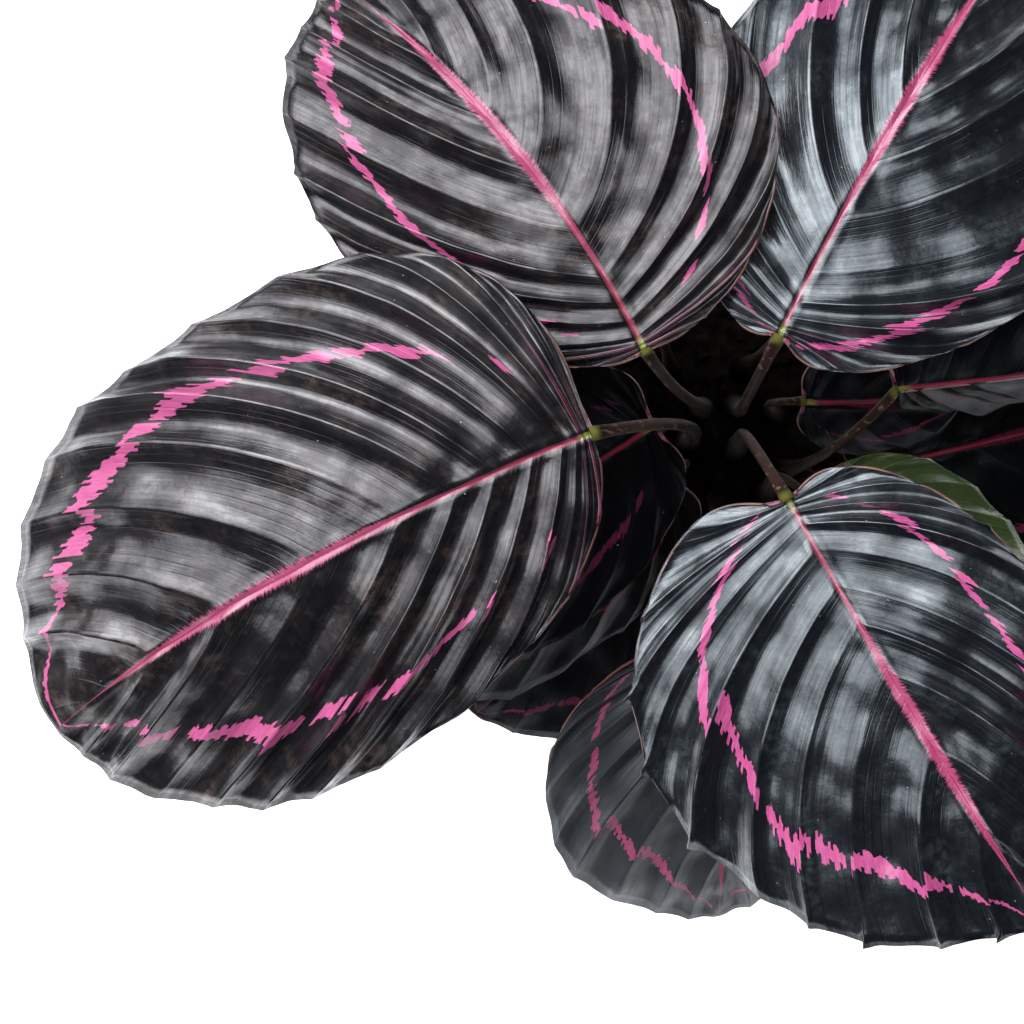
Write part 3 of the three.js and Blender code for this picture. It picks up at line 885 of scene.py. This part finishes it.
def leaf_pattern_group():
    group, g, source, target = new_group(
        "painted leaf",
        [("Vein", VECTOR), ("Flat", VECTOR), ("Seed", FLOAT), ("Pleats", FLOAT), ("Length", FLOAT),
         ("Ring Near", FLOAT), ("Ring Far", FLOAT), ("Sweep From", FLOAT), ("Sweep To", FLOAT),
         ("Ring Width", FLOAT), ("Ring Near Base", FLOAT), ("Ring Start", FLOAT), ("Feather", FLOAT)],
        [("Ring", FLOAT), ("Midrib", FLOAT), ("Groove", FLOAT), ("Foot", FLOAT), ("Veinlet", FLOAT),
         ("Streak", FLOAT), ("Scratch", FLOAT), ("Grain", FLOAT)])
    place, vein_y, _ = g.split(source["Vein"])
    signed = g.sub(g.mul(vein_y, 2.0), 1.0)
    out = g.math("ABSOLUTE", signed)
    key = g.add(g.mul(g.math("SIGN", signed), 3.7), g.mul(source["Seed"], 11.3))
    pleat_place = g.mul(place, source["Pleats"])

    masks = [ring_mask(g, source, place, out, key), *midrib_masks(g, source, key),
             veinlet_mask(g, pleat_place, out, key)]
    for texture in (STREAK, SCRATCH, GRAIN):
        masks.append(stretched_noise(g, pleat_place, out, key, *texture))
    for socket, mask in zip(target, masks):
        g.feed(socket, mask)
    return group


leaf_pattern = leaf_pattern_group()
print("nodes in the leaf pattern:", len(leaf_pattern.nodes))

# %% [markdown]
# ## Leaf paints
#
# The blade itself is nearly black, and most of the grey in the picture is gloss. Over it lies a thin
# cloudy bloom of dust, brownish on two leaves and bluish on the others, and the pink is paler where it is
# covered. The brownish and bluish tints are also painted sheen: they copy the tint of the gloss. A clear
# coat stands for the waxy film. It is patchy and worn along the veins, which breaks the reflections into
# streaks. The leaves deep in the clump get darker, duller paint, which is painted shade for the shadow
# that the higher leaves cast on them.

# %% Leaf paints
PAINTS = {
    # Each bloom colour is dust with a tint of painted sheen: brownish on warm leaves, bluish on cool ones.
    "warm": dict(dark=(0.0020, 0.0021, 0.0030), bloom_and_sheen=(0.140, 0.092, 0.070), bloom_and_sheen_amount=0.20,
                 pink=(0.31, 0.052, 0.145), rose=(0.22, 0.040, 0.080), sheen=(0.97, 0.90, 0.92)),
    "cool": dict(dark=(0.0022, 0.0026, 0.0040), bloom_and_sheen=(0.070, 0.084, 0.086), bloom_and_sheen_amount=0.22,
                 pink=(0.33, 0.048, 0.150), rose=(0.24, 0.034, 0.08), sheen=(0.86, 0.95, 1.0)),
    # Painted shade: this paint and the next are darker, duller copies for leaves in the shadow of higher
    # leaves.
    "shade": dict(dark=(0.0022, 0.0026, 0.0030), bloom_and_sheen=(0.035, 0.037, 0.04), bloom_and_sheen_amount=0.08,
                  pink=(0.21, 0.022, 0.075), rose=(0.18, 0.024, 0.055), rough=(0.60, 0.44), specular=0.35,
                  sheen=(0.85, 0.92, 1.0), wax=0.12),
    "deep_painted_shade": dict(dark=(0.0009, 0.0011, 0.0014), bloom_and_sheen=(0.03, 0.034, 0.04), bloom_and_sheen_amount=0.03,
                 pink=(0.07, 0.008, 0.024), rose=(0.030, 0.004, 0.008), rough=(0.46, 0.32), specular=0.06,
                 sheen=(0.85, 0.93, 1.0), wax=0.05),
    "olive": dict(dark=(0.024, 0.040, 0.011), bloom_and_sheen=(0.08, 0.10, 0.04), bloom_and_sheen_amount=0.55,
                  pink=(0.10, 0.08, 0.04), rose=(0.12, 0.11, 0.04), sheen=(0.95, 1.0, 0.85), wax=0.7),
}

print("paints:", list(PAINTS))

# %% [markdown]
# ## Colour of a blade
#
# The colours are laid over each other as a painter would: the dark blade with its bloom of dust and
# painted sheen first, then the ring, the midrib, the groove, the green foot, and single specks of dust on
# top.

# %% Colour of a blade
GROOVE_RED = (0.16, 0.018, 0.038)
RIB_FOOT_RED = (0.075, 0.007, 0.014)
FOOT_GREEN = (0.11, 0.12, 0.025)
DUST_SPECK = (0.16, 0.155, 0.15)


def pattern_of(g, leaf, vein, flat):
    near, far, sweep_from, sweep_to = leaf.get("ring", USUAL_RING)
    return use_group(
        g, leaf_pattern, Vein=vein, Flat=flat, Seed=float(leaf["seed"]), Pleats=float(pleat_count(leaf)),
        Length=float(leaf["length"]), Ring_Near=near, Ring_Far=far, Sweep_From=sweep_from, Sweep_To=sweep_to,
        Ring_Width=leaf.get("ring_width", RING_WIDTH), Ring_Near_Base=leaf.get("ring_near_base", 0.75),
        Ring_Start=leaf.get("ring_start", 0.2), Feather=1.5)


def blade_colour(g, paint, pattern, along, mottle):
    place = g.place()
    cloud = g.noise(place, 75.0, 6.0, 0.68)
    speck = g.noise(place, 900.0, 2.0, 0.5)
    # The bloom mask: cloudy dust that is also painted sheen, tinted like the gloss.
    bloom_and_sheen = g.mul(g.ramp(cloud, 0.47, 0.66, 0.12, 1.0), g.ramp(pattern["Streak"], 0.35, 0.62, 0.1, 1.0))
    bloom_and_sheen = g.mul(g.mul(bloom_and_sheen, g.ramp(mottle, 0.36, 0.64, 0.2, 1.2)), paint["bloom_and_sheen_amount"])
    blade = g.blend(bloom_and_sheen, paint["dark"], paint["bloom_and_sheen"])
    blade = g.blend(g.mul(pattern["Veinlet"], 0.75), blade, tuple(0.35 * c for c in paint["dark"]))

    pale_pink = tuple(0.8 * c + 0.06 for c in paint["pink"])
    deep_pink = tuple(0.5 * c for c in paint["pink"])
    pink = g.blend(g.mul(bloom_and_sheen, 1.3), paint["pink"], pale_pink)
    pink = g.blend(g.ramp(pattern["Grain"], 0.35, 0.65, 0.0, 0.5), pink, deep_pink)
    rose = g.blend(g.ramp(pattern["Grain"], 0.3, 0.7, 0.0, 0.3), paint["rose"], paint["pink"])
    rose = g.blend(g.ramp(along, 0.10, 0.50, 0.9, 0.0), rose, RIB_FOOT_RED)

    colour = g.blend(pattern["Ring"], blade, pink)
    colour = g.blend(pattern["Midrib"], colour, rose)
    colour = g.blend(g.mul(pattern["Groove"], 0.8), colour, GROOVE_RED)
    colour = g.blend(g.mul(pattern["Foot"], pattern["Midrib"]), colour, FOOT_GREEN)
    return g.blend(g.ramp(speck, 0.76, 0.80), colour, DUST_SPECK)


print("ring inputs of the largest leaf:", LEAVES[0]["ring"])

# %% [markdown]
# ## Gloss of a blade
#
# Streaks make the skin smoother here and rougher there, and the painted parts are a little duller. The
# waxy film has its own, smaller roughness, and fine relief breaks up the edges of the reflections.

# %% Gloss of a blade
USUAL_ROUGH = (0.32, 0.20)
USUAL_SPECULAR = 0.45
USUAL_WAX = 0.95
COAT_ROUGHNESS = 0.17


def add_gloss(g, shader, paint, gloss, pattern):
    """Gloss of the skin, rougher on the paint, below a patchy waxy film."""
    painted = g.math("MAXIMUM", pattern["Ring"], pattern["Midrib"])
    rough = g.ramp(pattern["Streak"], 0.25, 0.75, *paint.get("rough", USUAL_ROUGH))
    g.feed(shader.inputs["Roughness"], g.add(rough, g.mul(painted, 0.08)))
    shader.inputs["IOR"].default_value = 1.5
    shader.inputs["Specular IOR Level"].default_value = gloss * paint.get("specular", USUAL_SPECULAR)
    shader.inputs["Specular Tint"].default_value = (*paint["sheen"], 1.0)
    patch = g.noise(g.place(), 210.0, 5.0, 0.7)
    wax = g.add(g.mul(patch, 0.45), g.mul(pattern["Streak"], 0.55))
    wax = g.mul(g.ramp(wax, 0.41, 0.60, 0.1, 1.0), min(1.0, gloss * paint.get("wax", USUAL_WAX)))
    g.feed(shader.inputs["Coat Weight"], g.mul(wax, g.ramp(pattern["Scratch"], 0.38, 0.62, 0.45, 1.0)))
    shader.inputs["Coat Roughness"].default_value = COAT_ROUGHNESS


def blade_material(leaf):
    paint = PAINTS[leaf["tone"]]
    material, g, shader = new_material("blade_" + leaf["name"])
    flat = g.uv("flat")
    pattern = pattern_of(g, leaf, g.uv("vein"), flat)
    mottle = g.noise(g.place(), 420.0, 3.0, 0.6)
    g.feed(shader.inputs["Base Color"], blade_colour(g, paint, pattern, g.split(flat)[0], mottle))
    add_gloss(g, shader, paint, leaf.get("gloss", 1.0), pattern)
    height = g.sub(g.mul(pattern["Grain"], 0.5), g.mul(pattern["Veinlet"], 0.9))
    height = g.add(g.add(height, g.mul(mottle, 1.2)), g.mul(pattern["Scratch"], 0.8))
    add_bump(g, shader, height, 0.35, 0.00025)
    return material


print("roughness of the waxy film:", COAT_ROUGHNESS)

# %% [markdown]
# ## Undersides, rims and painting
#
# Below, the blade is burgundy with fine pale lines along the veins, and its cut edge is a thin reddish
# brown rim. The Solidify modifier gives these two sides the second and third material of the piece.

# %% Undersides, rims and painting


def underside_material():
    material, g, shader = new_material("leaf_underside")
    place, out, _ = g.split(g.uv("vein"))
    cloud = g.noise(g.place(), 55.0, 4.0, 0.6)
    fine = g.noise(g.vector(g.mul(place, 330.0), g.mul(out, 6.0), 0.0), 1.0, 2.0)
    colour = g.blend(g.ramp(cloud, 0.3, 0.7), (0.060, 0.006, 0.022), (0.115, 0.018, 0.045))
    colour = g.blend(g.ramp(fine, 0.5, 0.75, 0.0, 0.5), colour, (0.16, 0.04, 0.07))
    g.feed(shader.inputs["Base Color"], colour)
    g.feed(shader.inputs["Roughness"], g.ramp(cloud, 0.3, 0.7, 0.42, 0.56))
    return material


def rim_material():
    material, g, shader = new_material("leaf_rim")
    patch = g.ramp(g.noise(g.place(), 120.0), 0.35, 0.65)
    g.feed(shader.inputs["Base Color"], g.blend(patch, (0.04, 0.007, 0.007), (0.11, 0.035, 0.018)))
    shader.inputs["Roughness"].default_value = 0.5
    return material


underside = underside_material()
rim = rim_material()
for leaf in LEAVES:
    blade = blades[leaf["name"]]
    for material in (blade_material(leaf), underside, rim):
        blade.data.materials.append(material)
print("leaf materials:", len(LEAVES) + 2)

# %% [markdown]
# ## Stalk paints
#
# A stalk is dull dark brown with buff flecks. It turns yellow-green in the last few millimetres before the
# blade. Towards the soil it is painted darker, a painted shade for the dark crown of the clump. The rib
# below the blade carries on in a paler wine red.

# %% Stalk paints


def stalk_material():
    material, g, shader = new_material("stalk_skin")
    along = g.split(g.uv("along"))[0]
    place = g.place()
    stretched = g.node("ShaderNodeMapping")
    g.feed(stretched.inputs["Vector"], place)
    stretched.inputs["Scale"].default_value = (1.0, 1.0, 0.25)
    fleck = g.noise(stretched.outputs[0], 700.0, 3.0, 0.6)
    patch = g.ramp(g.noise(place, 90.0), 0.35, 0.65)
    colour = g.blend(patch, (0.0040, 0.0018, 0.0013), (0.012, 0.0052, 0.0034))
    colour = g.blend(g.ramp(fleck, 0.56, 0.66, 0.0, 0.7), colour, (0.085, 0.048, 0.030))
    # Painted shade: darker towards the foot, where the crown of the clump lies in shadow.
    colour = g.blend(g.ramp(along, 0.25, 0.75, 0.85, 0.0), colour, (0.0012, 0.0007, 0.0005))
    colour = g.blend(g.ramp(along, 0.97, 0.99), colour, (0.05, 0.05, 0.010))
    g.feed(shader.inputs["Base Color"], colour)
    g.feed(shader.inputs["Roughness"], g.ramp(fleck, 0.4, 0.7, 0.50, 0.70))
    shader.inputs["IOR"].default_value = 1.3
    shader.inputs["Specular IOR Level"].default_value = 0.12
    shader.inputs["Specular Tint"].default_value = (1.0, 0.72, 0.58, 1.0)
    add_bump(g, shader, fleck, 0.4, 0.0003)
    return material


def rib_material():
    material, g, shader = new_material("rib_skin")
    along = g.split(g.uv("along"))[0]
    place = g.place()
    colour = g.blend(g.ramp(g.noise(place, 200.0), 0.35, 0.65), (0.08, 0.012, 0.022), (0.13, 0.03, 0.045))
    colour = g.blend(g.ramp(along, 0.0, 0.08, 0.8, 0.0), colour, (0.12, 0.10, 0.03))
    g.feed(shader.inputs["Base Color"], colour)
    shader.inputs["Roughness"].default_value = 0.5
    return material


stalk_skin = stalk_material()
rib_skin = rib_material()
for name in stalks:
    stalks[name].data.materials.append(stalk_skin)
    ribs[name].data.materials.append(rib_skin)
print("stalks painted:", len(stalks))

# %% [markdown]
# ## Outline of the pot
#
# The photograph doesn't show the pot, so it is a plain one of unglazed clay with a broad band at its rim.
# Half of its section is drawn first, as a line from the axis out, up, in and back, with rounded corners.

# %% Outline of the pot
POT_HEIGHT = 126.0
POT_FOOT_RADIUS = 49.0
POT_BODY_RADIUS = 64.0
POT_WALL = 4.5
POT_FLOOR = 6.0
BAND_HEIGHT = 24.0
BAND_STEP = 3.5


def body_radius(height):
    return POT_FOOT_RADIUS + (POT_BODY_RADIUS - POT_FOOT_RADIUS) * height / (POT_HEIGHT - BAND_HEIGHT)


def inner_radius(height):
    return body_radius(height) - POT_WALL


def rounded(corners, radius, steps=5):
    """Rounds each inner corner of an open outline with a short arc."""
    points = [corners[0]]
    for before, corner, after in zip(corners, corners[1:], corners[2:]):
        here = Vector(corner)
        to_before = Vector(before) - here
        to_after = Vector(after) - here
        reach = min(radius, 0.4 * to_before.length, 0.4 * to_after.length)
        start = here + to_before.normalized() * reach
        end = here + to_after.normalized() * reach
        for i in range(steps + 1):
            s = i / steps
            points.append(tuple((1 - s) ** 2 * start + 2 * s * (1 - s) * here + s * s * end))
    points.append(corners[-1])
    return points


def pot_outline():
    band_foot = POT_HEIGHT - BAND_HEIGHT
    corners = [
        (0.0, 0.0),
        (POT_FOOT_RADIUS, 0.0),
        (body_radius(band_foot), band_foot),
        (body_radius(band_foot) + BAND_STEP, band_foot),
        (body_radius(POT_HEIGHT) + BAND_STEP, POT_HEIGHT),
        (inner_radius(POT_HEIGHT), POT_HEIGHT),
        (inner_radius(POT_FLOOR), POT_FLOOR),
        (0.0, POT_FLOOR),
    ]
    return rounded(corners, 1.8)


print("points in the outline of the pot:", len(pot_outline()))

# %% [markdown]
# ## Pot with drain holes
#
# A potter throws such a pot on a wheel, and spinning the outline about the upright axis is the same thing.
# The drain holes are cut by a Boolean modifier, which is applied at once.

# %% Pot with drain holes
POT_STEPS = 128
DRAIN_COUNT = 5
DRAIN_RADIUS = 4.5
DRAIN_CIRCLE = 27.0


def spun_mesh(name, outline, steps):
    """outline is a list of (radius, height) in millimetres that starts and ends on the axis."""
    bm = bmesh.new()
    vertices = [bm.verts.new((radius * MM, 0.0, height * MM)) for radius, height in outline]
    edges = [bm.edges.new(pair) for pair in zip(vertices, vertices[1:])]
    bmesh.ops.spin(bm, geom=vertices + edges, axis=(0, 0, 1), cent=(0, 0, 0), steps=steps,
                   angle=2 * math.pi, use_merge=True)
    bmesh.ops.remove_doubles(bm, verts=bm.verts, dist=1e-6)
    bmesh.ops.recalc_face_normals(bm, faces=bm.faces)
    for face in bm.faces:
        face.smooth = True
    return finished_mesh(bm, name)


def drain_cutter():
    bm = bmesh.new()
    for i in range(DRAIN_COUNT):
        angle = i / DRAIN_COUNT * 2 * math.pi
        centre = Vector((math.cos(angle), math.sin(angle), 0)) * DRAIN_CIRCLE * MM
        place = Matrix.Translation(centre + Vector((0, 0, POT_FLOOR / 2 * MM)))
        bmesh.ops.create_cone(bm, cap_ends=True, segments=32, radius1=DRAIN_RADIUS * MM,
                              radius2=DRAIN_RADIUS * MM, depth=3 * POT_FLOOR * MM, matrix=place)
    return new_object("drain_cutter", finished_mesh(bm, "drain_cutter"))


def cut_and_apply(piece, cutter):
    cut = piece.modifiers.new("drain", "BOOLEAN")
    cut.operation = "DIFFERENCE"
    cut.solver = "EXACT"
    cut.object = cutter
    graph = bpy.context.evaluated_depsgraph_get()
    mesh = bpy.data.meshes.new_from_object(piece.evaluated_get(graph))
    piece.modifiers.clear()
    piece.data = mesh
    bpy.data.objects.remove(cutter)


pot = new_object("clay_pot", spun_mesh("clay_pot", pot_outline(), POT_STEPS))
cut_and_apply(pot, drain_cutter())
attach(pot, "root")
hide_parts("pot")
print("pot faces:", len(pot.data.polygons))

# %% [markdown]
# ## Clay
#
# Unglazed clay is a warm orange-brown with a chalky bloom of lime salts, fine grit and faint wheel marks.

# %% Clay


def clay_material():
    material, g, shader = new_material("unglazed_clay")
    place = g.place()
    height = g.split(place)[2]
    patch = g.noise(place, 28.0, 5.0, 0.6)
    grit = g.noise(place, 1500.0, 2.0, 0.5)
    turning = g.noise(g.vector(0.0, 0.0, g.mul(height, 900.0)), 1.0, 2.0)
    colour = g.blend(g.ramp(patch, 0.3, 0.7), (0.165, 0.056, 0.026), (0.225, 0.086, 0.044))
    lime = g.mul(g.ramp(patch, 0.52, 0.74), g.ramp(height, 0.0, 0.10, 0.65, 0.15))
    colour = g.blend(lime, colour, (0.30, 0.225, 0.175))
    colour = g.blend(g.ramp(grit, 0.60, 0.72, 0.0, 0.35), colour, (0.09, 0.03, 0.015))
    g.feed(shader.inputs["Base Color"], colour)
    g.feed(shader.inputs["Roughness"], g.ramp(patch, 0.3, 0.7, 0.82, 0.95))
    add_bump(g, shader, g.add(g.mul(grit, 0.5), g.mul(turning, 0.6)), 0.5, 0.0004)
    return material


pot.data.materials.clear()
pot.data.materials.append(clay_material())
print("pot painted")

# %% [markdown]
# ## Soil
#
# Potting soil is a dark, crumbly mix of bark and peat, slightly domed round the plant. An outline is spun
# to a plug with many rings on its top, and crossed waves push that top up and down into lumpy ground.

# %% Soil
SOIL_EDGE = 110.0
SOIL_RINGS = 40
SOIL_STEPS = 96
FIT_GAP = 0.3


def soil_height(x, y):
    """Height of the ground in millimetres at a place in millimetres."""
    radius = math.hypot(x, y)
    dome = SOIL_CROWN - (SOIL_CROWN - SOIL_EDGE) * (radius / inner_radius(SOIL_EDGE)) ** 2
    lumps = (math.sin(0.31 * x + 1.3) * math.cos(0.27 * y + 0.4)
             + 0.6 * math.sin(0.83 * x - 0.61 * y + 2.0) + 0.4 * math.cos(1.7 * x + 1.1 * y))
    return dome + 0.55 * lumps


def soil_mesh():
    edge = inner_radius(SOIL_EDGE) - FIT_GAP
    bottom = POT_FLOOR + FIT_GAP
    outline = [(0.0, bottom), (inner_radius(bottom) - FIT_GAP, bottom)]
    outline += [(edge * (1 - i / SOIL_RINGS), SOIL_EDGE) for i in range(SOIL_RINGS + 1)]
    mesh = spun_mesh("potting_soil", outline, SOIL_STEPS)
    for vertex in mesh.vertices:
        if vertex.co.z > (SOIL_EDGE - 1) * MM:
            vertex.co.z = soil_height(vertex.co.x / MM, vertex.co.y / MM) * MM
    return mesh


print("soil height in the middle:", round(soil_height(0.0, 0.0), 1), "mm")

# %% [markdown]
# ## Crumbs and perlite
#
# Loose crumbs of bark and a few white grains of perlite lie on the ground. Each is a small sphere of
# twenty faces that is stretched, turned and dented by seeded random numbers.

# %% Crumbs and perlite
CRUMB_COUNT = 420
PERLITE_SHARE = 0.07


def crumb_mesh():
    rng = np.random.default_rng(7)
    bm = bmesh.new()
    edge = inner_radius(SOIL_EDGE) - 3.0
    for i in range(CRUMB_COUNT):
        white = i < PERLITE_SHARE * CRUMB_COUNT
        radius = edge * math.sqrt(rng.uniform(0.35 if white else 0.0, 1.0))
        angle = rng.uniform(0, 2 * math.pi)
        x = radius * math.cos(angle)
        y = radius * math.sin(angle)
        size = rng.uniform(1.0, 1.9) if white else rng.uniform(0.9, 2.6)
        turn = Matrix.Rotation(rng.uniform(0, math.pi), 4, "Z") @ Matrix.Rotation(rng.uniform(0, 1.2), 4, "X")
        stretch = Matrix.Diagonal((rng.uniform(0.7, 1.6), rng.uniform(0.6, 1.0), rng.uniform(0.4, 0.8), 1.0))
        place = Matrix.Translation(Vector((x, y, soil_height(x, y) + 0.2 * size)) * MM)
        made = bmesh.ops.create_icosphere(bm, subdivisions=1, radius=size * MM, matrix=place @ turn @ stretch)
        for vertex in made["verts"]:
            vertex.co += Vector(rng.uniform(-0.18, 0.18, 3)) * size * MM
            for face in vertex.link_faces:
                face.material_index = 1 if white else 0
    bmesh.ops.recalc_face_normals(bm, faces=bm.faces)
    return finished_mesh(bm, "soil_crumbs")


print("white grains:", int(PERLITE_SHARE * CRUMB_COUNT) + 1)

# %% [markdown]
# ## Soil paints
#
# Damp peat is dark and quite dull, with browner lumps, and perlite is chalk white with grey dirt. The peat
# is painted darker still, almost black, as painted shade under the clump of leaves.

# %% Soil paints


def soil_material():
    material, g, shader = new_material("peat_and_bark_painted_shade")
    place = g.place()
    lump = g.noise(place, 260.0, 5.0, 0.65)
    # Painted shade: the peat is almost black, darker than damp peat alone, for the shade under the leaves.
    colour = g.blend(g.ramp(lump, 0.35, 0.68), (0.0012, 0.0009, 0.0007), (0.009, 0.006, 0.004))
    g.feed(shader.inputs["Base Color"], colour)
    shader.inputs["Roughness"].default_value = 0.95
    shader.inputs["Specular IOR Level"].default_value = 0.08
    add_bump(g, shader, lump, 0.9, 0.0012)
    return material


def perlite_material():
    material, g, shader = new_material("perlite")
    place = g.place()
    colour = g.blend(g.ramp(g.noise(place, 900.0), 0.4, 0.7), (0.62, 0.60, 0.55), (0.38, 0.35, 0.30))
    g.feed(shader.inputs["Base Color"], colour)
    shader.inputs["Roughness"].default_value = 0.9
    return material


soil = new_object("potting_soil", soil_mesh())
crumbs = new_object("soil_crumbs", crumb_mesh())
earth = soil_material()
soil.data.materials.append(earth)
crumbs.data.materials.append(earth)
crumbs.data.materials.append(perlite_material())
for piece in (soil, crumbs):
    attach(piece, "root")
    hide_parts("soil")
print("crumbs:", CRUMB_COUNT)

# %% [markdown]
